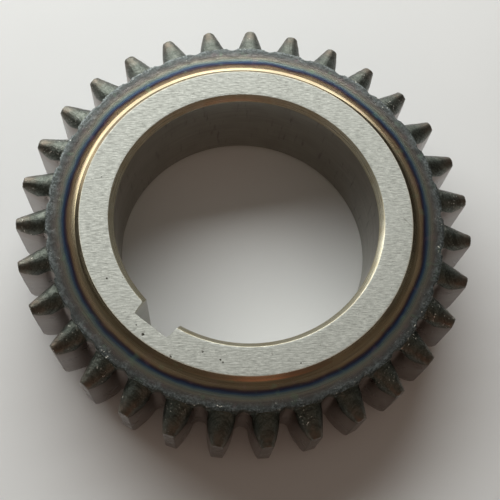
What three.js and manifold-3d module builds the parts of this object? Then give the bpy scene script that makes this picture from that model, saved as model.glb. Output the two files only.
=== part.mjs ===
// A spur gear made from one steel blank: turned, keyed, hobbed, rounded at one end of every tooth,
// hardened at the teeth and ground on both hub faces.
// Millimetres, +Z along the bore axis. The origin is on that axis in the lower hub face, and the
// keyway points along -Y.

import * as THREE from 'three';
import { mergeVertices } from 'three/addons/utils/BufferGeometryUtils.js';
import Module from 'manifold-3d';

// Teeth: involute, 2.4 modules deep, with an almost fully round root
const toothCount = 31;
const gearModule = 2.75;
const pressureAngle = THREE.MathUtils.degToRad(20);
const addendum = 2.6;
const dedendum = 4;
const rootFilletRadius = 1.35;
const lowerChamferDepth = 0.5;
const lowerChamferHeight = 1;
// Angle from the middle of the keyway to the middle of the nearest tooth; negative is clockwise from above
const keywayToTooth = THREE.MathUtils.degToRad(-3.75);

// Body: the hub stands 1 mm proud of the rim above and 3 mm below
const thickness = 20;
const rimLow = 3;
const rimHigh = 19;
const rimEdgeRadius = 39.4;
const hubFaceRadius = 32.6;
const hubWallRadius = 33.2;
const hubFootRadius = 34.2;
const upperFilletRise = 0.35;
const lowerFilletRise = 1;
const lowerHubChamfer = 0.6;

// Bore and keyway
const boreRadius = 26;
const boreChamfer = 1;
const keywayWidth = 8;
const keywayFloorRadius = 29.3;

// Rounded upper tooth ends: each is the upper half of a cone that lies along the tooth and comes
// up to the rim's face at the rim's edge
const endConeHeight = 15.6;
const endConeRimRadius = rimHigh - endConeHeight;
const endConeTipRadius = 1.2;
const endConeSides = 20;

// How finely the round shapes are cut into flats
const circleSides = 4 * toothCount;
const flankSteps = 5;
const filletSteps = 3;
const overrun = 1;

// Radii that follow from the module, the tooth count and the tooth depth
const pitchRadius = (gearModule * toothCount) / 2;
const baseRadius = pitchRadius * Math.cos(pressureAngle);
const tipRadius = pitchRadius + addendum;
const rootRadius = pitchRadius - dedendum;

const wasm = await Module();
wasm.setup();

function solidOf(geometry) {
  const bare = geometry.clone();
  bare.deleteAttribute('normal');
  bare.deleteAttribute('uv');
  const merged = mergeVertices(bare, 1e-5);
  const vertProperties = new Float32Array(merged.attributes.position.array);
  const triVerts = new Uint32Array(merged.index.array);
  return new wasm.Manifold(new wasm.Mesh({ numProp: 3, vertProperties, triVerts }));
}

function geometryOf(solid) {
  const mesh = solid.getMesh();
  const geometry = new THREE.BufferGeometry();
  geometry.setAttribute('position', new THREE.BufferAttribute(mesh.vertProperties, 3));
  geometry.setIndex(new THREE.BufferAttribute(mesh.triVerts, 1));
  geometry.computeVertexNormals();
  return geometry;
}

// The angle between a tooth's middle and its flank at a radius
function flankAngle(radius) {
  const involute = (angle) => Math.tan(angle) - angle;
  const slope = Math.acos(Math.min(1, baseRadius / radius));
  return Math.PI / (2 * toothCount) + involute(pressureAngle) - involute(slope);
}

// One half of a tooth from its tip down to the root circle, as [radius, angle from its middle]
function halfTooth() {
  const filletCentre = rootRadius + rootFilletRadius;
  const flankFoot = Math.sqrt(filletCentre ** 2 - rootFilletRadius ** 2);
  const filletMiddle = flankAngle(flankFoot) + Math.asin(rootFilletRadius / filletCentre);
  const points = [];
  for (let i = 0; i <= flankSteps; i += 1) {
    const radius = THREE.MathUtils.lerp(tipRadius, flankFoot, i / flankSteps);
    points.push([radius, flankAngle(radius)]);
  }
  const sweep = Math.acos(rootFilletRadius / filletCentre);
  for (let i = 1; i <= filletSteps; i += 1) {
    const turn = sweep * (1 - i / filletSteps);
    const inward = filletCentre - rootFilletRadius * Math.cos(turn);
    const sideways = rootFilletRadius * Math.sin(turn);
    points.push([Math.hypot(inward, sideways), filletMiddle - Math.atan2(sideways, inward)]);
  }
  return points;
}

function toothMiddle(index) {
  return -Math.PI / 2 + keywayToTooth + (index * 2 * Math.PI) / toothCount;
}

// The outline of all the teeth
function toothedOutline() {
  const half = halfTooth();
  const otherHalf = half.toReversed().map(([radius, angle]) => [radius, -angle]);
  const tooth = [...otherHalf, [tipRadius, 0], ...half];
  const points = [];
  for (let i = 0; i < toothCount; i += 1) {
    for (const [radius, angle] of tooth) {
      const direction = toothMiddle(i) + angle;
      points.push(new THREE.Vector2(radius * Math.cos(direction), radius * Math.sin(direction)));
    }
  }
  return new THREE.Shape(points);
}

// The turned blank: hub faces, hub steps, rim faces, chamfered bore and the lower tooth-end chamfer
function turnedBlank() {
  const outside = tipRadius + lowerChamferDepth;
  const chamferFoot = tipRadius - lowerChamferDepth;
  const upper = [
    [outside, rimHigh],
    [hubFootRadius, rimHigh],
    [hubWallRadius, rimHigh + upperFilletRise],
    [hubFaceRadius, thickness],
    [boreRadius + boreChamfer, thickness],
    [boreRadius, thickness - boreChamfer],
  ];
  const lower = [
    [boreRadius, boreChamfer],
    [boreRadius + boreChamfer, 0],
    [hubFaceRadius, 0],
    [hubWallRadius, lowerHubChamfer],
    [hubWallRadius, rimLow - lowerFilletRise],
    [hubFootRadius, rimLow],
    [chamferFoot, rimLow],
    [outside, rimLow + 2 * lowerChamferHeight],
  ];
  const profile = [...lower, ...upper, lower[0]].map(([r, z]) => new THREE.Vector2(r, z));
  return solidOf(new THREE.LatheGeometry(profile, circleSides).rotateX(Math.PI / 2));
}

function disc(radius, low, high) {
  const geometry = new THREE.CylinderGeometry(radius, radius, high - low, circleSides);
  return solidOf(geometry.rotateX(Math.PI / 2).translate(0, 0, (low + high) / 2));
}

// The cone that rounds one tooth's upper end
function endCone(index) {
  const inner = rimEdgeRadius - overrun;
  const outer = tipRadius + overrun;
  const taper = (endConeRimRadius - endConeTipRadius) / (tipRadius - rimEdgeRadius);
  const innerRadius = endConeRimRadius + taper * overrun;
  const outerRadius = endConeTipRadius - taper * overrun;
  const geometry = new THREE.CylinderGeometry(outerRadius, innerRadius, outer - inner, endConeSides);
  geometry.rotateY(Math.PI / endConeSides);
  geometry.rotateZ(-Math.PI / 2);
  geometry.translate((inner + outer) / 2, 0, endConeHeight);
  geometry.rotateZ(toothMiddle(index));
  return solidOf(geometry);
}

// What the tooth-rounding cutter leaves: everything under the cones' middles, the rim, and the cones
function roundedEnds() {
  let kept = disc(tipRadius + 2 * overrun, -overrun, endConeHeight);
  kept = kept.add(disc(rimEdgeRadius, -overrun, thickness + overrun));
  for (let i = 0; i < toothCount; i += 1) kept = kept.add(endCone(i));
  return kept;
}

function gearTeeth() {
  const depth = thickness + 2 * overrun;
  const geometry = new THREE.ExtrudeGeometry(toothedOutline(), { depth, bevelEnabled: false });
  return solidOf(geometry.translate(0, 0, -overrun));
}

function keyway() {
  const reach = keywayFloorRadius - boreRadius / 2;
  const geometry = new THREE.BoxGeometry(keywayWidth, reach, thickness + 2 * overrun);
  return solidOf(geometry.translate(0, -keywayFloorRadius + reach / 2, thickness / 2));
}

const gearSolid = turnedBlank().intersect(gearTeeth()).intersect(roundedEnds()).subtract(keyway());

const hardenedSteel = new THREE.MeshStandardMaterial({
  color: 0x8d9490,
  roughness: 0.42,
  metalness: 0.9,
});

const spurGear = new THREE.Mesh(geometryOf(gearSolid), hardenedSteel);
spurGear.name = 'spur_gear';

const group = new THREE.Group();
group.add(spurGear);

export default group;
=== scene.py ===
import math

import bmesh
import bpy
import numpy as np
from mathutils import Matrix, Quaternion, Vector, noise


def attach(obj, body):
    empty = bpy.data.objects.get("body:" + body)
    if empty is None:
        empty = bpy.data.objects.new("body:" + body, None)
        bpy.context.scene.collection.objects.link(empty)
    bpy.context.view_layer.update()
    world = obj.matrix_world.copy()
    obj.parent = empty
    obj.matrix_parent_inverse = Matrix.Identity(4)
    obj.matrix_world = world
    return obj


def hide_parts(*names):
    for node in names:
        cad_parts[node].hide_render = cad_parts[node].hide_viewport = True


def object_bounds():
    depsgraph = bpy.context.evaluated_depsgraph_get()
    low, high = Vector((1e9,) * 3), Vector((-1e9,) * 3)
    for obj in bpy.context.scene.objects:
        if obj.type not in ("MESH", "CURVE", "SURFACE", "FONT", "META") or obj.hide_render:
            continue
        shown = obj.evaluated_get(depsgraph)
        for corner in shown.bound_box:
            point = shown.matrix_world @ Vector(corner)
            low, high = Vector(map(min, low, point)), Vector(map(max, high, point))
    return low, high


# A spur gear with hardened teeth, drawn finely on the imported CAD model. The gear is one mesh made
# of closed rings and of one patch for each tooth end, which share their border points. Shapes are
# worked out in millimetres in the CAD's frame: +Z along the bore, the keyway towards -Y.

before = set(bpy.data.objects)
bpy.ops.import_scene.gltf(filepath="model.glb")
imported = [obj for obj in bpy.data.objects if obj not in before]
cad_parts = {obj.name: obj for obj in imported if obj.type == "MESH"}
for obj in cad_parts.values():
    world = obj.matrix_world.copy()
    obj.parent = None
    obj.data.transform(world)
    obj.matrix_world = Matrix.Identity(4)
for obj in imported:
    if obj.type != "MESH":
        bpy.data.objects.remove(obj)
cad_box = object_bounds()

MM = 0.001
NODE = "spur_gear"
# Points closer than this, in metres, are one point
WELD = 1e-6
# Radii closer than this, in millimetres, are the same
HAIR = 1e-6
# Edges that turn by more than this stay sharp
SHARP_ANGLE = math.radians(40)

# Teeth
TOOTH_COUNT = 31
MODULE = 2.75
PRESSURE_ANGLE = math.radians(20)
ADDENDUM = 2.6
DEDENDUM = 4.0
ROOT_FILLET = 1.35
KEYWAY_TO_TOOTH = math.radians(-3.75)
CHAMFER_DEPTH = 0.5
CHAMFER_SLOPE = 2.0
PITCH_RADIUS = MODULE * TOOTH_COUNT / 2
BASE_RADIUS = PITCH_RADIUS * math.cos(PRESSURE_ANGLE)
TIP_RADIUS = PITCH_RADIUS + ADDENDUM
ROOT_RADIUS = PITCH_RADIUS - DEDENDUM
FILLET_CENTRE = ROOT_RADIUS + ROOT_FILLET
FLANK_FOOT = math.sqrt(FILLET_CENTRE**2 - ROOT_FILLET**2)

# Body. The rim's ragged edge and the hub's foot lie a little inside the CAD's.
THICKNESS = (cad_box[1].z - cad_box[0].z) / MM
UPPER_STEP = 1.0
LOWER_STEP = 3.0
RIM_LOW = LOWER_STEP
RIM_HIGH = THICKNESS - UPPER_STEP
RIM_EDGE = 39.15
HUB_FACE_RADIUS = 32.6
HUB_WALL_RADIUS = 33.2
HUB_FOOT_RADIUS = 34.15
LOWER_FILLET = HUB_FOOT_RADIUS - HUB_WALL_RADIUS
LOWER_FILLET_TURNS = np.radians([20, 45, 70, 90])
BORE_RADIUS = 26.0
BORE_CHAMFER = 1.0
KEYWAY_HALF = 4.0
KEYWAY_FLOOR = 29.3
KEYWAY_ANGLE = -math.pi / 2
HUB_FACE_INNER = 30.8
SCALE_RADIUS = 37.4

# The turned edges in section. The groove at the hub's foot and the upper step are given as
# (radius, rise above the rim), the bore's chamfer as (radius, how much wider the keyway is, rise
# above the hub face)
GROOVE_START = HUB_FOOT_RADIUS + 0.12
GROOVE_RINGS = [
    (HUB_FOOT_RADIUS + 0.05, -0.03),
    (HUB_FOOT_RADIUS - 0.04, -0.03),
]
UPPER_STEP_RINGS = [
    (HUB_FOOT_RADIUS - 0.18, 0.0),
    (33.66, 0.1),
    (33.6, 0.07),
    (33.5, 0.07),
    (33.42, 0.13),
    (33.3, 0.24),
    (33.14, 0.38),
    (32.98, 0.54),
    (32.83, 0.71),
    (32.69, 0.88),
    (HUB_FACE_RADIUS + 0.02, UPPER_STEP - 0.03),
]
BORE_CHAMFER_ROWS = [
    (BORE_RADIUS + BORE_CHAMFER + 0.06, 0.05, 0),
    (BORE_RADIUS + BORE_CHAMFER + 0.01, 0.015, -0.03),
    (BORE_RADIUS + BORE_CHAMFER - 0.06, 0, -0.1),
    (BORE_RADIUS + BORE_CHAMFER - 0.5, 0, -0.52),
    (BORE_RADIUS + 0.07, 0, -0.95),
    (BORE_RADIUS + 0.01, 0, -1.04),
    (BORE_RADIUS, 0, -1.14),
]

# The cone that rounds the upper end of a tooth
CONE_HEIGHT = 15.6
CONE_AT_RIM = 3.25
CONE_AT_TIP = 1.2

# How many columns and rows the surfaces have. Steps in pairs are for the upper and lower end.
GAP_ROOT_STEPS = 2
GAP_FILLET_STEPS = 4
GAP_STEPS = GAP_ROOT_STEPS + GAP_FILLET_STEPS
TOOTH_STEPS = 24
PITCH_STEPS = TOOTH_STEPS + 2 * GAP_STEPS
RING_STEPS = TOOTH_COUNT * PITCH_STEPS
FLANK_FILLET_STEPS = 6
FLANK_STEPS = 12
FLANK_CHAMFER_STEPS = 3
KEYWAY_FLOOR_STEPS = 16
KEYWAY_SIDE_STEPS = 10
WALL_STEPS = 8
UPPER_WALL_STEPS = 6
BORE_WALL_STEPS = 4
OUTER_RIM_STEPS = (9, 2)
INNER_RIM_STEPS = (7, 2)
HUB_FACE_STEPS = (9, 4)
# How much closer the hub face's rings lie towards the bore
HUB_FACE_GRADING = 1.3
# The share of its distance from the rim's edge that a ring keeps from the roots of the tooth gaps
ROOT_CLEARANCE = 0.5

# Zones of the surface, one material each
GROUND, TEMPERED, SCALED, FLANK, BORE, TURNED = range(6)


# --- Outline of the teeth -------------------------------------------------------------------


def flank_angle(radius):
    """The angle between a tooth's middle and its flank at a radius."""
    slope = np.arccos(np.minimum(1, BASE_RADIUS / radius))
    involute = math.tan(PRESSURE_ANGLE) - PRESSURE_ANGLE - (np.tan(slope) - slope)
    return math.pi / (2 * TOOTH_COUNT) + involute


FILLET_MIDDLE = float(flank_angle(FLANK_FOOT)) + math.asin(ROOT_FILLET / FILLET_CENTRE)


def fillet(turn):
    """A point of the root fillet, as (radius, angle from the tooth's middle)."""
    inward = FILLET_CENTRE - ROOT_FILLET * np.cos(turn)
    sideways = ROOT_FILLET * np.sin(turn)
    return np.hypot(inward, sideways), FILLET_MIDDLE - np.arctan2(sideways, inward)


def shoulder_turn():
    """How far round the fillet the rim's upper edge meets it."""
    squares = FILLET_CENTRE**2 + ROOT_FILLET**2 - RIM_EDGE**2
    return math.acos(squares / (2 * FILLET_CENTRE * ROOT_FILLET))


def gap_half():
    """Half a tooth gap, from its middle to the shoulder."""
    root_angles = np.linspace(math.pi / TOOTH_COUNT, FILLET_MIDDLE, GAP_ROOT_STEPS + 1)[:-1]
    radii, angles = fillet(np.linspace(0, shoulder_turn(), GAP_FILLET_STEPS + 1))
    return np.r_[np.full(GAP_ROOT_STEPS, ROOT_RADIUS), radii], np.r_[root_angles, angles]


def tooth_half():
    """Half a tooth's outline, from the shoulder up its flank to the tip."""
    full_turn = math.acos(ROOT_FILLET / FILLET_CENTRE)
    low_radii, low_angles = fillet(np.linspace(shoulder_turn(), full_turn, FLANK_FILLET_STEPS + 1))
    chamfer_start = TIP_RADIUS - CHAMFER_DEPTH
    middle = np.linspace(FLANK_FOOT, chamfer_start, FLANK_STEPS + 1)[1:]
    high = np.linspace(chamfer_start, TIP_RADIUS, FLANK_CHAMFER_STEPS + 1)[1:]
    radii = np.r_[middle, high]
    return np.r_[low_radii, radii], np.r_[low_angles, flank_angle(radii)]


def across():
    """The places of a tooth's columns from one flank, -1, to the other, 1, closer near the flanks."""
    even = np.linspace(-1, 1, TOOTH_STEPS + 1)
    return 0.5 * even + 0.5 * np.sin(even * math.pi / 2)


def tooth_middle(index):
    return KEYWAY_ANGLE + KEYWAY_TO_TOOTH + index * 2 * math.pi / TOOTH_COUNT


def rim_columns():
    """The radius and angle of each of the rim's columns at its outer edge."""
    gap_radii, gap_angles = gap_half()
    tooth_angles = across() * gap_angles[-1]
    radii = np.r_[gap_radii[:-1], np.full(TOOTH_STEPS + 1, RIM_EDGE), gap_radii[::-1][1:-1]]
    angles = np.r_[-gap_angles[:-1], tooth_angles, gap_angles[::-1][1:-1]]
    turned = [tooth_middle(i) + angles for i in range(TOOTH_COUNT)]
    return np.tile(radii, TOOTH_COUNT), np.concatenate(turned)


def cone_height(radius, angle):
    """The height of the rounded tooth end at a point, given from the tooth's middle."""
    along = radius * np.cos(angle)
    sideways = radius * np.sin(angle)
    taper = (CONE_AT_TIP - CONE_AT_RIM) / (TIP_RADIUS - RIM_EDGE)
    cone = CONE_AT_RIM + taper * (along - RIM_EDGE)
    rise = np.sqrt(np.maximum(cone**2 - sideways**2, 0))
    return np.minimum(RIM_HIGH, CONE_HEIGHT + rise)


def lower_height(radius):
    """The height of the underside, with the tooth's lower chamfer."""
    return np.maximum(RIM_LOW, RIM_LOW + CHAMFER_SLOPE * (radius - TIP_RADIUS + CHAMFER_DEPTH))


# --- Mesh patches ---------------------------------------------------------------------------


class Patches:
    """Collects grids of points as quads, each with its zone."""

    def __init__(self):
        self.points, self.faces, self.zones, self.count = [], [], [], 0

    def grid(self, rows, zone, closed=False):
        """rows is an array of (row, column, xyz), its faces turned to row direction x column."""
        height, width = rows.shape[:2]
        index = np.arange(height * width).reshape(height, width) + self.count
        if closed:
            index = np.c_[index, index[:, :1]]
        quads = [index[:-1, :-1], index[1:, :-1], index[1:, 1:], index[:-1, 1:]]
        faces = np.stack(quads, -1).reshape(-1, 4)
        self.points.append(rows.reshape(-1, 3))
        self.faces.append(faces)
        self.zones.append(np.full(len(faces), zone))
        self.count += height * width


def polar(radius, angle, height):
    radius, angle, height = np.broadcast_arrays(radius, angle, height)
    return np.stack([radius * np.cos(angle), radius * np.sin(angle), height], -1)


def graded(count):
    """Steps from 0 to 1, small near both ends."""
    even = np.linspace(0, 1, count + 1)
    return 0.5 - 0.5 * np.cos(even * math.pi)


def upper_wall_foot():
    """The height at which each rim column meets the tooth ends, or the same height in a gap."""
    _, gap_angles = gap_half()
    tooth = cone_height(RIM_EDGE, across() * gap_angles[-1])
    gap = np.full(GAP_STEPS, tooth[0])
    return np.tile(np.r_[gap, tooth, gap[1:]], TOOTH_COUNT)


def add_tooth_walls(patches):
    """Root, fillets, flanks and tip land, as one band that goes all the way round."""
    gap_radii, gap_angles = gap_half()
    flank_radii, flank_angles = tooth_half()
    tip_angles = across()[1:-1] * flank_angles[-1]
    half_radii = np.r_[gap_radii[:-1], flank_radii]
    half_angles = np.r_[gap_angles[:-1], flank_angles]
    radii = np.r_[half_radii, np.full(len(tip_angles), TIP_RADIUS), half_radii[::-1][:-1]]
    angles = np.r_[-half_angles, tip_angles, half_angles[::-1][:-1]]
    top = cone_height(radii, angles)
    top[radii <= RIM_EDGE + HAIR] = cone_height(RIM_EDGE, gap_angles[-1])
    bottom = lower_height(radii)
    full_radii = np.tile(radii, TOOTH_COUNT)
    full_angles = np.concatenate([tooth_middle(i) + angles for i in range(TOOTH_COUNT)])
    step = graded(WALL_STEPS)[:, None]
    heights = np.tile(bottom, TOOTH_COUNT) * (1 - step) + np.tile(top, TOOTH_COUNT) * step
    patches.grid(polar(full_radii, full_angles, heights)[::-1], FLANK, closed=True)


def add_upper_wall(patches):
    """The short wall between the tooth ends and the rim's upper face."""
    radii, angles = rim_columns()
    step = graded(UPPER_WALL_STEPS)[:, None]
    heights = upper_wall_foot() * (1 - step) + RIM_HIGH * step
    patches.grid(polar(radii, angles, heights)[::-1], SCALED, closed=True)


def add_tooth_ends(patches):
    """The rounded upper end and the flat, chamfered lower end of every tooth."""
    radii, angles = tooth_half()
    spread = angles[:, None] * across()[None, :]
    radii = np.broadcast_to(radii[:, None], spread.shape)
    for i in range(TOOTH_COUNT):
        upper = polar(radii, tooth_middle(i) + spread, cone_height(radii, spread))
        lower = polar(radii, tooth_middle(i) + spread, lower_height(radii))
        patches.grid(upper, SCALED)
        patches.grid(lower[::-1], SCALED)


def notched_loop(bore, widening):
    """The bore's outline, column by column, with its keyway wider and deeper by widening."""
    steps = np.arange(RING_STEPS) - RING_STEPS // 2
    half = KEYWAY_HALF + widening
    floor = KEYWAY_FLOOR + widening
    size = np.abs(steps)
    side = np.sign(steps)
    x = half * np.minimum(size / KEYWAY_FLOOR_STEPS, 1)
    corner = KEYWAY_FLOOR_STEPS + KEYWAY_SIDE_STEPS
    up = np.clip((size - KEYWAY_FLOOR_STEPS) / KEYWAY_SIDE_STEPS, 0, 1)
    y = -floor + up * (floor - math.sqrt(bore**2 - half**2))
    start = math.asin(half / bore)
    turn = start + (size - corner) / (RING_STEPS / 2 - corner) * (math.pi - start)
    on_circle = size > corner
    x = np.where(on_circle, bore * np.sin(turn), x)
    y = np.where(on_circle, -bore * np.cos(turn), y)
    return np.stack([side * x, y], -1)


def even_angles():
    steps = np.arange(RING_STEPS) - RING_STEPS // 2
    return KEYWAY_ANGLE + steps * 2 * math.pi / RING_STEPS


def outer_angles():
    """The rim columns' angles, started so that each is next to the even column beside it."""
    _, angles = rim_columns()
    first = even_angles()[0]
    gaps = np.abs((angles - first + math.pi) % (2 * math.pi) - math.pi)
    start = int(np.argmin(gaps))
    return np.unwrap(np.roll(angles, -start)), start


def rim_profile(outer_steps, inner_steps):
    """The rim's rings from its edge to the groove at the hub's foot, as (radius, rise)."""
    outer_rim = np.linspace(RIM_EDGE, SCALE_RADIUS, outer_steps + 1)[1:]
    inner_rim = np.linspace(SCALE_RADIUS, GROOVE_START, inner_steps + 1)[1:]
    return [(r, 0) for r in np.r_[outer_rim, inner_rim]] + GROOVE_RINGS


def upper_profile():
    """The upper end's rings from the rim's edge over the hub's fillet to its face."""
    points = rim_profile(OUTER_RIM_STEPS[0], INNER_RIM_STEPS[0]) + UPPER_STEP_RINGS
    inner = np.linspace(HUB_FACE_RADIUS - 0.3, HUB_FACE_INNER, 4)
    face = np.r_[HUB_FACE_RADIUS - 0.05, HUB_FACE_RADIUS - 0.15, inner]
    return points + [(r, UPPER_STEP) for r in face]


def lower_profile():
    """The lower end's rings from the rim's edge over a fillet and the hub's wall to its face."""
    points = rim_profile(OUTER_RIM_STEPS[1], INNER_RIM_STEPS[1])
    for turn in LOWER_FILLET_TURNS:
        radius = HUB_FOOT_RADIUS - LOWER_FILLET * math.sin(turn)
        points.append((radius, LOWER_FILLET * (1 - math.cos(turn))))
    edge = HUB_WALL_RADIUS - HUB_FACE_RADIUS
    points += [(HUB_WALL_RADIUS, LOWER_STEP - edge), (HUB_FACE_RADIUS + 0.02, LOWER_STEP - 0.03)]
    face = [HUB_FACE_RADIUS - 0.1, HUB_FACE_RADIUS - 0.4, HUB_FACE_INNER]
    return points + [(r, LOWER_STEP) for r in face]


def add_end_face(patches, upper):
    """One end of the gear, from the rim's edge over the hub step to the bore's chamfer."""
    angles, first = outer_angles()
    even = even_angles()
    even = even + 2 * math.pi * np.round((angles[0] - even[0]) / (2 * math.pi))
    edge_radii = np.roll(rim_columns()[0], -first)
    side = 1 if upper else -1
    rim_height = RIM_HIGH if upper else RIM_LOW
    profile = upper_profile() if upper else lower_profile()
    rings = [polar(edge_radii, angles, rim_height)]
    zones = []
    for radius, rise in profile:
        share = min(1, max(0, (RIM_EDGE - radius) / (RIM_EDGE - HUB_FOOT_RADIUS)))
        ring_angles = angles * (1 - share) + even * share
        ring_radius = np.minimum(radius, edge_radii - (RIM_EDGE - radius) * ROOT_CLEARANCE)
        rings.append(polar(ring_radius, ring_angles, rim_height + side * rise))
        zones.append(GROUND if radius < HUB_FACE_RADIUS else TEMPERED)
    split = zones.index(GROUND)
    face_height = THICKNESS if upper else 0.0
    chamfer_radius, widening, _ = BORE_CHAMFER_ROWS[0]
    loop = notched_loop(chamfer_radius, widening)
    circle = rings[-1][:, :2]
    steps = HUB_FACE_STEPS[0] if upper else HUB_FACE_STEPS[1]
    shares = 1 - (1 - np.linspace(0, 1, steps + 1)[1:]) ** HUB_FACE_GRADING
    inner = [circle * (1 - share) + loop * share for share in shares]
    rings += [np.c_[xy, np.full(RING_STEPS, face_height)] for xy in inner]
    tempered = np.stack(rings[: split + 1])
    ground = np.stack(rings[split:])
    patches.grid(tempered[::-side], TEMPERED, closed=True)
    patches.grid(ground[::-side], GROUND, closed=True)


def add_bore(patches):
    """Both chamfers, the bore's wall and the keyway."""
    upper = [(*notch, THICKNESS + rise) for *notch, rise in BORE_CHAMFER_ROWS]
    lower = [(*notch, -rise) for *notch, rise in reversed(BORE_CHAMFER_ROWS)]
    wall = np.linspace(upper[-1][2], lower[0][2], BORE_WALL_STEPS + 1)[1:-1]
    rows = upper + [(BORE_RADIUS, 0, z) for z in wall] + lower
    stack = [np.c_[notched_loop(r, wider), np.full(RING_STEPS, z)] for r, wider, z in rows]
    chamfer = len(BORE_CHAMFER_ROWS)
    patches.grid(np.stack(stack[:chamfer])[::-1], TURNED, closed=True)
    patches.grid(np.stack(stack[chamfer - 1 : 1 - chamfer])[::-1], BORE, closed=True)
    patches.grid(np.stack(stack[-chamfer:])[::-1], TURNED, closed=True)


def welded(patches):
    """The patches as one Blender mesh in metres, with their shared points joined."""
    mesh = bpy.data.meshes.new("gear")
    points = np.concatenate(patches.points) * MM
    mesh.from_pydata(points.tolist(), [], np.concatenate(patches.faces).tolist())
    mesh.polygons.foreach_set("material_index", np.concatenate(patches.zones).astype(np.int32))
    work = bmesh.new()
    work.from_mesh(mesh)
    bmesh.ops.remove_doubles(work, verts=work.verts, dist=WELD)
    open_edges = sum(not e.is_manifold for e in work.edges)
    if open_edges:
        raise ValueError(f"the gear's mesh has {open_edges} open edges")
    if work.calc_volume(signed=True) < 0:
        raise ValueError("the gear's faces point inwards")
    work.to_mesh(mesh)
    work.free()
    return mesh


# --- Wear and scale in the surface -----------------------------------------------------------


def arrays(mesh):
    """Every vertex's place, in millimetres, and its normal."""
    size = len(mesh.vertices) * 3
    places, normals = np.zeros(size), np.zeros(size)
    mesh.vertices.foreach_get("co", places)
    mesh.vertex_normals.foreach_get("vector", normals)
    return places.reshape(-1, 3) / MM, normals.reshape(-1, 3)


def move(mesh, places):
    mesh.vertices.foreach_set("co", (places * MM).ravel())
    mesh.update()


def break_edges(mesh, passes, most):
    """Takes sharp edges back along their normals, in passes of most millimetres or less."""
    ends = np.zeros(len(mesh.edges) * 2, int)
    mesh.edges.foreach_get("vertices", ends)
    ends = ends.reshape(-1, 2)
    degree = np.bincount(ends.ravel(), minlength=len(mesh.vertices))[:, None]
    for _ in range(passes):
        places, normals = arrays(mesh)
        pull = np.zeros_like(places)
        np.add.at(pull, ends[:, 0], places[ends[:, 1]])
        np.add.at(pull, ends[:, 1], places[ends[:, 0]])
        inward = ((pull / degree - places) * normals).sum(1)
        places += normals * np.clip(inward, -most, most)[:, None]
        move(mesh, places)


# How much fractal noise weakens and narrows from one octave to the next
NOISE_DECAY = 0.8
NOISE_NARROWING = 2.0


def noise_at(places, scale, seed, octaves=3):
    """Fractal noise, about -1 to 1, at each place; scale is in waves to the millimetre."""
    shift = Vector((17.3, 5.1, 9.7)) * seed
    spots = [Vector(p) * scale + shift for p in places]
    return np.array([noise.fractal(s, NOISE_DECAY, NOISE_NARROWING, octaves) for s in spots])


def between(low, high, value):
    """0 at low and beyond it, 1 at high and beyond it, and a smooth step between them."""
    share = np.clip((value - low) / (high - low), 0, 1)
    return share * share * (3 - 2 * share)


# How far the scale's grain and swells, the wear at the tips and the burr move the surface
RIM_GRAIN = 0.006
TOOTH_GRAIN = 0.04
TOOTH_SWELL = 0.04
TIP_WEAR = 0.05
BURR_RAGGED = 0.09
BURR_INSET = 0.08
BURR_LIFT = 0.02
BURR_CHIP = 0.05
BURR_DROP = 0.03


def roughen(mesh):
    """Hardening scale on the tooth ends and rim, and the burr left on the rim's upper edge."""
    places, normals = arrays(mesh)
    radius = np.hypot(places[:, 0], places[:, 1])
    height = places[:, 2]
    upward = between(0.05, 0.4, normals[:, 2])
    cone_floor = CONE_HEIGHT - 0.2
    scaled = between(SCALE_RADIUS, RIM_EDGE - 0.6, radius) * (height > cone_floor)
    scaled *= np.maximum(upward, between(RIM_EDGE + 0.2, RIM_EDGE - 0.1, radius))
    at = np.nonzero(scaled > 0)[0]
    on_tooth = between(RIM_EDGE - 0.1, RIM_EDGE + 0.3, radius[at])
    grain = noise_at(places[at], 1.9, 1) * (RIM_GRAIN + (TOOTH_GRAIN - RIM_GRAIN) * on_tooth)
    swell = noise_at(places[at], 0.7, 2, 2) * TOOTH_SWELL * on_tooth
    outermost = between(TIP_RADIUS - 0.4, TIP_RADIUS - 0.05, radius[at])
    places[at] += normals[at] * ((grain + swell - TIP_WEAR * outermost) * scaled[at])[:, None]
    burr = between(RIM_EDGE - 0.55, RIM_EDGE - 0.1, radius)
    burr *= between(RIM_EDGE + 0.3, RIM_EDGE + 0.05, radius)
    burr *= between(RIM_HIGH - 0.7, RIM_HIGH - 0.05, height)
    at = np.nonzero(burr > 0)[0]
    ragged = noise_at(places[at] * (1, 1, 0.3), 2.8, 3, 4)
    flat = places[at][:, :2] / radius[at][:, None]
    places[at, :2] += flat * (burr[at] * (ragged * BURR_RAGGED - BURR_INSET))[:, None]
    chips = between(0.3, 0.6, noise_at(places[at], 2.0, 4, 2))
    lift = noise_at(places[at], 3.0, 5)
    places[at, 2] += burr[at] * (BURR_LIFT * lift + BURR_CHIP * chips - BURR_DROP)
    move(mesh, places)


PIT_DEPTH = 0.12
# Small pits in the upper hub face, as (radius, degrees from +X, size)
PITS = [
    (31.5, 270.1, 0.3),
    (31.9, 267.1, 0.15),
    (31.0, 266.2, 0.12),
    (30.0, 245.8, 0.16),
    (29.3, 291.3, 0.18),
    (30.0, 298.1, 0.2),
    (30.4, 299.1, 0.14),
    (32.35, 282, 0.22),
    (28.8, 316.8, 0.13),
    (31.5, 325.8, 0.13),
    (29.5, 203.8, 0.13),
]


def pit_centre(radius, degrees):
    angle = math.radians(degrees)
    return radius * math.cos(angle), radius * math.sin(angle), THICKNESS


def pit(mesh):
    """Dents the upper hub face at each pit."""
    places, _ = arrays(mesh)
    on_face = places[:, 2] > THICKNESS - 0.2
    for radius, degrees, size in PITS:
        away = np.linalg.norm(places - pit_centre(radius, degrees), axis=1)
        places[:, 2] -= PIT_DEPTH * between(size * 1.3, size * 0.3, away) * on_face
    move(mesh, places)


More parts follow.
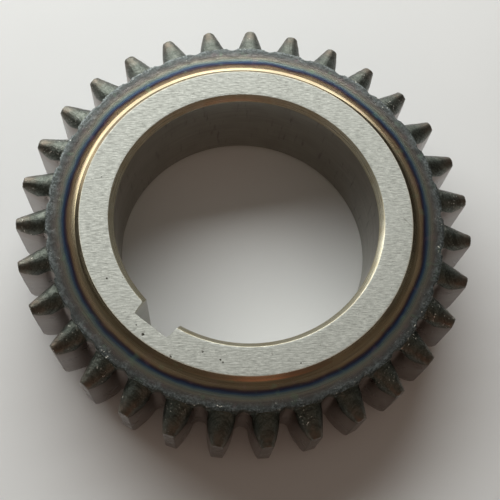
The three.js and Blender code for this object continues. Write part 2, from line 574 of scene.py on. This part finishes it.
def hold_inside(mesh):
    """Keeps the hub faces and the tooth tips inside the CAD's box."""
    places, _ = arrays(mesh)
    low, high = (np.array(corner) / MM for corner in cad_box)
    move(mesh, np.clip(places, low, high))


def shade(mesh, materials):
    """Gives the mesh its materials, in the order of its zones, and smooth faces."""
    for material in materials:
        mesh.materials.append(material)
    mesh.polygons.foreach_set("use_smooth", np.ones(len(mesh.polygons), bool))
    mesh.set_sharp_from_angle(angle=SHARP_ANGLE)


# --- Materials --------------------------------------------------------------------------------


def fill_ramp(node, stops):
    """Gives a colour ramp these stops, as (position, colour)."""
    elements = node.color_ramp.elements
    while len(elements) < len(stops):
        elements.new(0.5)
    for element, (position, colour) in zip(elements, stops):
        element.position = position
        element.color = (*colour, 1)


class Look:
    """One material's node tree. Colours are linear RGB, lengths in the tree are millimetres."""

    def __init__(self, name, metallic, roughness):
        self.material = bpy.data.materials.new(name)
        self.material.use_nodes = True
        self.tree = self.material.node_tree
        self.shader = self.tree.nodes["Principled BSDF"]
        self.shader.inputs["Metallic"].default_value = metallic
        self.shader.inputs["Roughness"].default_value = roughness
        place = self.put("ShaderNodeTexCoord").outputs["Object"]
        self.place = self.vector("SCALE", place, scale=1 / MM)

    def put(self, kind, **settings):
        node = self.tree.nodes.new(kind)
        for name, value in settings.items():
            setattr(node, name, value)
        return node

    def plug(self, value, socket):
        if isinstance(value, bpy.types.NodeSocket):
            self.tree.links.new(value, socket)
        else:
            socket.default_value = value

    def math(self, operation, first, second):
        node = self.put("ShaderNodeMath", operation=operation)
        self.plug(first, node.inputs[0])
        self.plug(second, node.inputs[1])
        return node.outputs[0]

    def vector(self, operation, first, second=None, scale=None):
        node = self.put("ShaderNodeVectorMath", operation=operation)
        self.plug(first, node.inputs[0])
        if second is not None:
            self.plug(second, node.inputs[1])
        if scale is not None:
            self.plug(scale, node.inputs["Scale"])
        return node.outputs["Value" if operation == "LENGTH" else "Vector"]

    def parts(self, vector):
        node = self.put("ShaderNodeSeparateXYZ")
        self.plug(vector, node.inputs[0])
        return node.outputs

    def radius(self):
        return self.vector("LENGTH", self.vector("MULTIPLY", self.place, (1, 1, 0)))

    def along_turning(self, around, outward, upward):
        """Coordinates stretched along circles about the bore's axis, as turning leaves its marks.

        around is how far one turn goes, as a circle's radius; outward and upward are per millimetre.
        """
        flat = self.vector("NORMALIZE", self.vector("MULTIPLY", self.place, (1, 1, 0)))
        circle = self.vector("SCALE", flat, scale=around)
        mark = self.math("MULTIPLY", self.radius(), outward)
        rise = self.math("MULTIPLY", self.parts(self.place)["Z"], upward)
        both = self.math("ADD", mark, rise)
        join = self.put("ShaderNodeCombineXYZ")
        self.plug(both, join.inputs["Z"])
        return self.vector("ADD", circle, join.outputs[0])

    def along_line(self, degrees, along, over):
        """Coordinates stretched along a straight direction in the end faces, both per millimetre."""
        node = self.put("ShaderNodeMapping", vector_type="POINT")
        self.plug(self.place, node.inputs["Vector"])
        node.inputs["Rotation"].default_value = (0, 0, -math.radians(degrees))
        turned = node.outputs[0]
        return self.vector("MULTIPLY", turned, (along, over, over))

    def noise(self, vector, scale, detail, roughness=0.5):
        node = self.put("ShaderNodeTexNoise")
        self.plug(vector, node.inputs["Vector"])
        node.inputs["Scale"].default_value = scale
        node.inputs["Detail"].default_value = detail
        node.inputs["Roughness"].default_value = roughness
        return node.outputs["Fac"]

    def ramp(self, value, stops):
        """stops are (position, colour)."""
        node = self.put("ShaderNodeValToRGB")
        fill_ramp(node, stops)
        self.plug(value, node.inputs[0])
        return node.outputs["Color"]

    def span(self, value, low, high, first=0.0, last=1.0):
        """value from low..high to first..last, held at the ends."""
        node = self.put("ShaderNodeMapRange", interpolation_type="SMOOTHSTEP")
        names = ("From Min", "From Max", "To Min", "To Max")
        for name, number in zip(names, (low, high, first, last)):
            node.inputs[name].default_value = number
        self.plug(value, node.inputs["Value"])
        return node.outputs["Result"]

    def in_pits(self):
        """1 in the pits of the upper hub face and 0 beside them."""
        ragged = self.span(self.noise(self.place, 4.0, 1), 0.3, 0.7, -0.08, 0.08)
        total = 0.0
        for radius, degrees, size in PITS:
            from_centre = self.vector("SUBTRACT", self.place, pit_centre(radius, degrees))
            away = self.vector("LENGTH", from_centre)
            spot = self.span(self.math("ADD", away, ragged), size * 1.2, size * 0.6)
            total = self.math("MAXIMUM", total, spot)
        return total

    def mix(self, share, first, second):
        node = self.put("ShaderNodeMix", data_type="RGBA")
        self.plug(share, node.inputs["Factor"])
        for value, socket in ((first, node.inputs[6]), (second, node.inputs[7])):
            self.plug((*value, 1) if isinstance(value, tuple) else value, socket)
        return node.outputs[2]

    def bump(self, height, depth, normal=None):
        """depth is how far the surface moves as height goes from 0 to 1, in millimetres."""
        node = self.put("ShaderNodeBump")
        node.inputs["Strength"].default_value = 1.0
        node.inputs["Distance"].default_value = depth * MM
        self.plug(height, node.inputs["Height"])
        if normal is not None:
            self.plug(normal, node.inputs["Normal"])
        return node.outputs["Normal"]

    def use(self, colour=None, roughness=None, metallic=None, normal=None):
        named = {"Base Color": colour, "Roughness": roughness, "Metallic": metallic, "Normal": normal}
        for name, value in named.items():
            if value is not None:
                self.plug(value, self.shader.inputs[name])
        return self.material


# The ways that the grinding lines and the stray scratches run on the hub faces, from +X
GRINDING_DEGREES = 39
SCRATCH_DEGREES = GRINDING_DEGREES - 50


def ground_steel():
    """The hub faces: pale steel with straight grinding lines, a few pits and scratches, and a painted
    highlight at the edge.
    """
    low, middle, high = (0.40, 0.415, 0.385), (0.53, 0.55, 0.515), (0.66, 0.68, 0.64)
    # torn and cloudy are the steel's own tones; the third colour is a painted highlight for the
    # faces' outer edge
    torn, cloudy, painted_edge_highlight = (0.34, 0.355, 0.33), (0.55, 0.57, 0.54), (0.75, 0.72, 0.60)
    speck_dark, pit_dark, scratch_dark = (0.10, 0.09, 0.07), (0.05, 0.045, 0.035), (0.24, 0.24, 0.2)
    look = Look("ground_steel", metallic=1.0, roughness=0.4)
    fine = look.noise(look.along_line(GRINDING_DEGREES, 0.9, 6.5), 1, 2, 0.65)
    broad = look.noise(look.along_line(GRINDING_DEGREES, 0.5, 3.8), 1, 2, 0.5)
    lines = look.math("ADD", look.math("MULTIPLY", fine, 0.6), look.math("MULTIPLY", broad, 0.4))
    colour = look.ramp(lines, [(0.38, low), (0.5, middle), (0.62, high)])
    grit = look.noise(look.along_line(GRINDING_DEGREES, 3.0, 7.0), 1, 1, 0.7)
    colour = look.mix(look.span(grit, 0.50, 0.68, 0, 0.5), colour, torn)
    clouds = look.noise(look.place, 0.16, 3)
    colour = look.mix(look.span(clouds, 0.35, 0.7, 0, 0.25), colour, cloudy)
    speck = look.noise(look.place, 2.1, 2, 0.6)
    colour = look.mix(look.span(speck, 0.705, 0.75), colour, speck_dark)
    colour = look.mix(look.in_pits(), colour, pit_dark)
    scratch = look.noise(look.along_line(SCRATCH_DEGREES, 0.12, 3.1), 1, 1)
    scratch = look.span(scratch, 0.735, 0.78)
    colour = look.mix(look.math("MULTIPLY", scratch, 0.5), colour, scratch_dark)
    # A painted highlight: a pale cream band mixed in round the hub faces' outer edge
    edge_highlight_share = look.span(look.radius(), HUB_FACE_RADIUS - 0.25, HUB_FACE_RADIUS - 0.02)
    colour = look.mix(look.math("MULTIPLY", edge_highlight_share, 0.5), colour, painted_edge_highlight)
    roughness = look.span(lines, 0.35, 0.65, 0.80, 0.68)
    height = look.math("SUBTRACT", lines, look.math("MULTIPLY", scratch, 0.1))
    return look.use(colour, roughness, normal=look.bump(height, 0.045))


# Bare steel where the scale has come off
SPECK = (0.75, 0.74, 0.66)


def scale_colour(look):
    """Hardening scale, dark grey green with a few bare specks: its colour, grain and specks."""
    low, middle, high = (0.042, 0.048, 0.041), (0.072, 0.082, 0.07), (0.115, 0.122, 0.105)
    raised = (0.15, 0.165, 0.145)
    patchy = look.noise(look.place, 0.55, 4, 0.6)
    grain = look.noise(look.place, 2.9, 3, 0.7)
    dark = look.ramp(patchy, [(0.3, low), (0.5, middle), (0.7, high)])
    colour = look.mix(look.span(grain, 0.42, 0.66, 0, 0.6), dark, raised)
    bare = look.span(look.noise(look.place, 2.3, 2, 0.6), 0.66, 0.70)
    worn = look.span(look.noise(look.place, 0.11, 1), 0.52, 0.60)
    bare = look.math("MULTIPLY", bare, worn)
    return colour, grain, bare


# Where the scale on the rim starts, where it covers everything, and how far that wanders
SCALE_STARTS, SCALE_FULL, SCALE_WANDER = 36.6, 39.2, 0.9
# Where the bronze cast on the tooth ends starts and where it is strongest
BRONZE_STARTS, BRONZE_FULL = 41.0, 44.6
# Temper colours by radius: the hub fillet, the flat rim and the scale beyond it
TEMPER_COLOURS = [
    (32.6, (0.31, 0.265, 0.175)),
    (33.4, (0.31, 0.265, 0.17)),
    (33.7, (0.32, 0.275, 0.18)),
    (34.3, (0.33, 0.25, 0.15)),
    (34.75, (0.25, 0.175, 0.10)),
    (35.1, (0.07, 0.042, 0.045)),
    (35.4, (0.022, 0.027, 0.07)),
    (35.75, (0.05, 0.095, 0.165)),
    (36.2, (0.175, 0.225, 0.205)),
    (36.75, (0.24, 0.23, 0.185)),
    (37.3, (0.19, 0.175, 0.16)),
    (38.1, (0.13, 0.14, 0.14)),
    (39.4, (0.10, 0.115, 0.115)),
]


def tempered_steel():
    """The hub fillet and rim face: oxide colours in rings, turning into scale at the rim's edge."""
    mark_dark, pink, green = (0.05, 0.045, 0.04), (0.42, 0.22, 0.26), (0.20, 0.36, 0.22)
    sand_dark, sand_pale = (0.012, 0.016, 0.018), (0.14, 0.16, 0.16)
    look = Look("tempered_steel", metallic=1.0, roughness=0.35)
    radius = look.radius()
    wander = look.noise(look.place, 0.12, 3)
    ripple = look.noise(look.along_turning(9, 1.2, 0), 1, 3)
    slow_shift = look.span(wander, 0.25, 0.75, -0.2, 0.2)
    shift = look.math("ADD", slow_shift, look.span(ripple, 0.2, 0.8, -0.09, 0.09))
    shifted = look.math("ADD", radius, shift)
    first, last = TEMPER_COLOURS[0][0], TEMPER_COLOURS[-1][0]
    share = look.math("DIVIDE", look.math("SUBTRACT", shifted, first), last - first)
    stops = [((r - first) / (last - first), colour) for r, colour in TEMPER_COLOURS]
    rings = look.ramp(share, stops)
    turned = look.noise(look.along_turning(2.5, 3.8, 3.8), 1, 3, 0.65)
    rings = look.mix(look.span(turned, 0.35, 0.65, 0.0, 0.45), rings, mark_dark)
    tint = look.noise(look.place, 0.45, 2)
    rings = look.mix(look.span(tint, 0.62, 0.72, 0, 0.10), rings, pink)
    rings = look.mix(look.span(tint, 0.38, 0.28, 0, 0.22), rings, green)
    scale, grain, bare = scale_colour(look)
    edge_noise = look.noise(look.place, 0.5, 4)
    uneven = look.span(edge_noise, 0.2, 0.8, -SCALE_WANDER, SCALE_WANDER)
    scaled = look.span(look.math("ADD", radius, uneven), SCALE_STARTS, SCALE_FULL)
    sand = look.noise(look.place, 2.6, 2, 0.8)
    scale = look.mix(look.span(sand, 0.42, 0.62), look.mix(0.7, scale, sand_dark), sand_pale)
    colour = look.mix(look.math("MULTIPLY", scaled, 0.9), rings, scale)
    bare = look.math("MULTIPLY", bare, scaled)
    colour = look.mix(bare, colour, SPECK)
    roughness = look.span(scaled, 0, 1, 0.26, 0.40)
    roughness = look.math("ADD", roughness, look.span(turned, 0.2, 0.8, -0.05, 0.05))
    metallic = look.span(radius, HUB_FOOT_RADIUS - 0.35, HUB_FOOT_RADIUS + 0.25, 1.0, 0.85)
    metallic = look.math("SUBTRACT", metallic, look.math("MULTIPLY", bare, 0.6))
    height = look.math("ADD", look.math("MULTIPLY", grain, 0.4), look.math("MULTIPLY", sand, 0.6))
    normal = look.bump(look.math("MULTIPLY", height, scaled), 0.08, look.bump(turned, 0.012))
    return look.use(colour, roughness, metallic, normal)


def scaled_steel():
    """The rounded tooth ends, covered in hardening scale, with a bronze cast at the tips."""
    cut_dark, bronze = (0.02, 0.022, 0.018), (0.155, 0.122, 0.095)
    look = Look("scaled_steel", metallic=1.0, roughness=0.45)
    colour, grain, bare = scale_colour(look)
    cuts = look.noise(look.along_turning(14, 2.6, 2.6), 1, 2, 0.6)
    colour = look.mix(look.span(cuts, 0.45, 0.7, 0, 0.55), colour, cut_dark)
    far_out = look.span(look.radius(), BRONZE_STARTS, BRONZE_FULL, 0, 0.75)
    patch = look.span(look.noise(look.place, 0.8, 3), 0.4, 0.65, 0.4, 1)
    colour = look.mix(look.math("MULTIPLY", far_out, patch), colour, bronze)
    colour = look.mix(bare, colour, SPECK)
    roughness = look.span(grain, 0.3, 0.7, 0.46, 0.30)
    roughness = look.math("SUBTRACT", roughness, look.math("MULTIPLY", bare, 0.15))
    coarse = look.noise(look.place, 2.4, 3, 0.6)
    height = look.math("ADD", look.math("MULTIPLY", coarse, 0.6), look.math("MULTIPLY", grain, 0.4))
    normal = look.bump(cuts, 0.03, look.bump(height, 0.15))
    metallic = look.math("SUBTRACT", 1.0, look.math("MULTIPLY", bare, 0.75))
    return look.use(colour, roughness, metallic, normal)


def flank_steel():
    """Flanks, roots and tip lands: hobbed, smooth and lightly browned near the rounded end."""
    low, high, feed_dark = (0.26, 0.235, 0.225), (0.36, 0.33, 0.315), (0.22, 0.20, 0.19)
    browned, land_dark = (0.20, 0.16, 0.135), (0.16, 0.145, 0.135)
    look = Look("flank_steel", metallic=1.0, roughness=0.3)
    feed = look.noise(look.vector("MULTIPLY", look.place, (0.25, 0.25, 1.6)), 1, 2)
    blotch = look.noise(look.place, 0.3, 3)
    colour = look.ramp(blotch, [(0.3, low), (0.7, high)])
    colour = look.mix(look.span(feed, 0.35, 0.65, 0, 0.2), colour, feed_dark)
    heat = look.span(look.parts(look.place)["Z"], 11.0, 16.6, 0, 0.6)
    colour = look.mix(heat, colour, browned)
    land = look.span(look.radius(), TIP_RADIUS - 0.35, TIP_RADIUS - 0.15, 0, 0.5)
    colour = look.mix(land, colour, land_dark)
    roughness = look.span(blotch, 0.3, 0.7, 0.26, 0.38)
    return look.use(colour, roughness, normal=look.bump(feed, 0.02))


def bore_steel():
    """The bore and keyway: ground round, grey, with fine marks that run round the bore."""
    low, high = (0.335, 0.325, 0.295), (0.42, 0.41, 0.37)
    blotch_dark, stroke_dark = (0.27, 0.26, 0.23), (0.16, 0.155, 0.14)
    look = Look("bore_steel", metallic=1.0, roughness=0.34)
    marks = look.noise(look.along_turning(2.0, 0.4, 4.5), 1, 3, 0.6)
    blotch = look.noise(look.along_turning(5.0, 0.2, 0.25), 1, 3)
    strokes = look.noise(look.along_turning(26.0, 0.2, 0.14), 1, 2, 0.7)
    colour = look.ramp(marks, [(0.3, low), (0.7, high)])
    colour = look.mix(look.span(blotch, 0.4, 0.7, 0, 0.3), colour, blotch_dark)
    colour = look.mix(look.span(strokes, 0.58, 0.72, 0, 0.5), colour, stroke_dark)
    roughness = look.span(marks, 0.3, 0.7, 0.36, 0.3)
    return look.use(colour, roughness, normal=look.bump(marks, 0.006))


def turned_steel():
    """The bore's chamfers: bright turned steel with a straw tint."""
    low, high, straw = (0.30, 0.28, 0.20), (0.50, 0.48, 0.38), (0.32, 0.26, 0.15)
    look = Look("turned_steel", metallic=0.7, roughness=0.24)
    marks = look.noise(look.along_turning(3.0, 6.0, 6.0), 1, 2, 0.6)
    blotch = look.noise(look.place, 0.35, 3)
    colour = look.ramp(marks, [(0.3, low), (0.7, high)])
    colour = look.mix(look.span(blotch, 0.45, 0.7, 0, 0.4), colour, straw)
    roughness = look.span(marks, 0.3, 0.7, 0.34, 0.24)
    return look.use(colour, roughness, normal=look.bump(marks, 0.008))


# --- The gear -----------------------------------------------------------------------------------


def make_gear():
    patches = Patches()
    add_tooth_walls(patches)
    add_upper_wall(patches)
    add_tooth_ends(patches)
    add_end_face(patches, upper=True)
    add_end_face(patches, upper=False)
    add_bore(patches)
    mesh = welded(patches)
    break_edges(mesh, passes=3, most=0.03)
    roughen(mesh)
    pit(mesh)
    hold_inside(mesh)
    looks = (ground_steel, tempered_steel, scaled_steel, flank_steel, bore_steel, turned_steel)
    shade(mesh, [make() for make in looks])
    gear = bpy.data.objects.new("machined_gear", mesh)
    bpy.context.scene.collection.objects.link(gear)
    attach(gear, "root")
    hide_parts(NODE)


# --- Floor, light and camera ----------------------------------------------------------------------


def direction(azimuth, elevation):
    """The way from the gear to a thing seen at this azimuth, from +X, and elevation, in degrees."""
    a, e = math.radians(azimuth), math.radians(elevation)
    return Vector((math.cos(a) * math.cos(e), math.sin(a) * math.cos(e), math.sin(e)))


FLOOR_REACH = 1.5


def make_floor():
    """A pale table under the gear, reaching this many metres from the bore's axis each way."""
    mesh = bpy.data.meshes.new("floor")
    signs = [(-1, -1), (1, -1), (1, 1), (-1, 1)]
    corners = [(x * FLOOR_REACH, y * FLOOR_REACH, cad_box[0].z) for x, y in signs]
    mesh.from_pydata(corners, [], [(0, 1, 2, 3)])
    dull, clear = (0.76, 0.785, 0.79), (0.78, 0.805, 0.81)
    look = Look("pale_floor", metallic=0.0, roughness=0.6)
    soft = look.noise(look.place, 0.02, 2)
    mesh.materials.append(look.use(look.ramp(soft, [(0.3, dull), (0.7, clear)])))
    floor = bpy.data.objects.new("floor", mesh)
    bpy.context.scene.collection.objects.link(floor)


# Lamps by name. Angles are in degrees, distance and size in metres and power in watts.
LIGHTS = {
    "window": {
        "azimuth": 146,
        "elevation": 32,
        "distance": 0.75,
        "size": (1.15, 0.52),
        "lean": -5,
        "power": 10.2,
        "colour": (1.0, 1.0, 0.975),
    },
    "warm_side": {
        "azimuth": -38,
        "elevation": 20,
        "distance": 0.8,
        "size": (0.50, 0.26),
        "lean": 0,
        "power": 0.14,
        "colour": (1.0, 0.28, 0.14),
    },
}


def add_light(name, azimuth, elevation, distance, size, lean, power, colour):
    """A lamp that faces the gear. lean turns it in its own plane, in degrees."""
    light = bpy.data.lights.new(name, "AREA")
    light.shape = "RECTANGLE"
    light.size, light.size_y = size
    light.energy = power
    light.color = colour
    lamp = bpy.data.objects.new(name, light)
    towards = direction(azimuth, elevation)
    turn = Quaternion((0, 0, 1), math.radians(lean))
    lamp.location = towards * distance
    lamp.rotation_mode = "QUATERNION"
    lamp.rotation_quaternion = towards.to_track_quat("Z", "Y") @ turn
    bpy.context.scene.collection.objects.link(lamp)


# The room's light by its direction: 1 from the middle of the near side, as azimuth and elevation,
# and 0 from anywhere square to that or beyond
ROOM_NEAR_SIDE = (-38, 25)
ROOM_COLOURS = [
    (0.0, (0.07, 0.063, 0.056)),
    (0.25, (0.152, 0.133, 0.112)),
    (0.95, (0.215, 0.158, 0.125)),
]


def make_room():
    """Dim, warm light from all round, weakest on the window's side."""
    world = bpy.data.worlds.new("room")
    world.use_nodes = True
    tree = world.node_tree
    place = tree.nodes.new("ShaderNodeTexCoord")
    nearness = tree.nodes.new("ShaderNodeVectorMath")
    ramp = tree.nodes.new("ShaderNodeValToRGB")
    nearness.operation = "DOT_PRODUCT"
    nearness.inputs[1].default_value = direction(*ROOM_NEAR_SIDE)
    tree.links.new(place.outputs["Generated"], nearness.inputs[0])
    tree.links.new(nearness.outputs["Value"], ramp.inputs[0])
    tree.links.new(ramp.outputs["Color"], tree.nodes["Background"].inputs["Color"])
    fill_ramp(ramp, ROOM_COLOURS)
    bpy.context.scene.world = world


def make_light():
    for name, settings in LIGHTS.items():
        add_light(name, **settings)


# The camera's place, the way from the gear back to it and its roll in degrees, its lens and sensor
# in millimetres, and the shift of its frame
CAMERA_PLACE = Vector((36.55, -59.82, 165.79)) * MM
VIEW_AZIMUTH = -62.81
VIEW_ELEVATION = 70.01
VIEW_ROLL = 11.05
LENS = 59.43
SENSOR_WIDTH = 36
FRAME_SHIFT = (-0.017, 0.097)
CLIP_START = 0.01


def make_camera():
    camera = bpy.data.cameras.new("camera")
    camera.lens = LENS
    camera.sensor_width = SENSOR_WIDTH
    camera.shift_x, camera.shift_y = FRAME_SHIFT
    camera.clip_start = CLIP_START
    holder = bpy.data.objects.new("camera", camera)
    back = direction(VIEW_AZIMUTH, VIEW_ELEVATION)
    roll = Quaternion((0, 0, 1), math.radians(VIEW_ROLL))
    holder.rotation_mode = "QUATERNION"
    holder.rotation_quaternion = (-back).to_track_quat("-Z", "Y") @ roll
    holder.location = CAMERA_PLACE
    bpy.context.scene.collection.objects.link(holder)
    bpy.context.scene.camera = holder


make_camera()
make_gear()
make_floor()
make_room()
make_light()
bpy.context.scene.view_settings.view_transform = "Standard"
